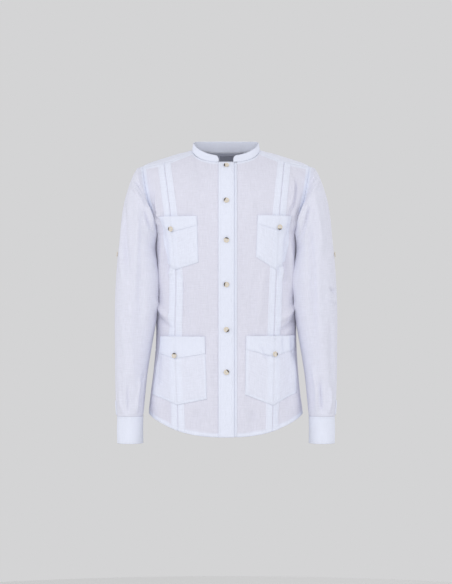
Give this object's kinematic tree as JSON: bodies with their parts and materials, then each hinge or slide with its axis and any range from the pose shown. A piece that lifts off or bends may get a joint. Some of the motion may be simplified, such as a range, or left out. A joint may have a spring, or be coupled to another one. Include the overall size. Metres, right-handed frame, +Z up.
{
  "type": "guayabera shirt",
  "caption": "Long-sleeved guayabera shirt in thin linen: narrow collar band, buttoned placket, tucked fronts, pointed pocket bands; worn shape, hollow and open at neck, hem and cuffs.",
  "frame": {"origin": "between the wearer's shoulders at the height of the neck's two sides, where the shirt hangs on its wearer", "axes": "+Z up; the shirt's front faces -Y; +X towards the wearer's left"},
  "size_m": [0.5094, 0.2253, 0.6932],
  "materials": {
    "linen": "thin white plain-woven linen, one layer, slubbed and matt",
    "doubled_linen": "the same linen doubled or laid on the body cloth, so whiter, with stitched edges",
    "label_tape": "pale woven tape, blank",
    "horn": "polished horn-coloured button, pale with a dark edge on one side"
  },
  "bodies": {
    "root": {"front_right": "linen", "front_left": "linen", "placket": "doubled_linen", "button_stand": "doubled_linen", "back": "linen", "yoke": "linen", "collar_band": "doubled_linen", "neck_label": "label_tape", "sleeve_right": "linen", "sleeve_placket_right": "doubled_linen", "cuff_right": "doubled_linen", "sleeve_left": "linen", "sleeve_placket_left": "doubled_linen", "cuff_left": "doubled_linen", "chest_pocket_right": "doubled_linen", "chest_pocket_band_right": "doubled_linen", "button_chest_pocket_right": "horn", "chest_pocket_left": "doubled_linen", "chest_pocket_band_left": "doubled_linen", "button_chest_pocket_left": "horn", "lower_pocket_right": "doubled_linen", "lower_pocket_band_right": "doubled_linen", "button_lower_pocket_right": "horn", "lower_pocket_left": "doubled_linen", "lower_pocket_band_left": "doubled_linen", "button_lower_pocket_left": "horn", "button_front_1": "horn", "button_front_2": "horn", "button_front_3": "horn", "button_front_4": "horn", "button_front_5": "horn", "button_front_6": "horn", "button_sleeve_right": "horn", "button_cuff_right": "horn", "button_sleeve_left": "horn", "button_cuff_left": "horn"}
  },
  "joints": []
}
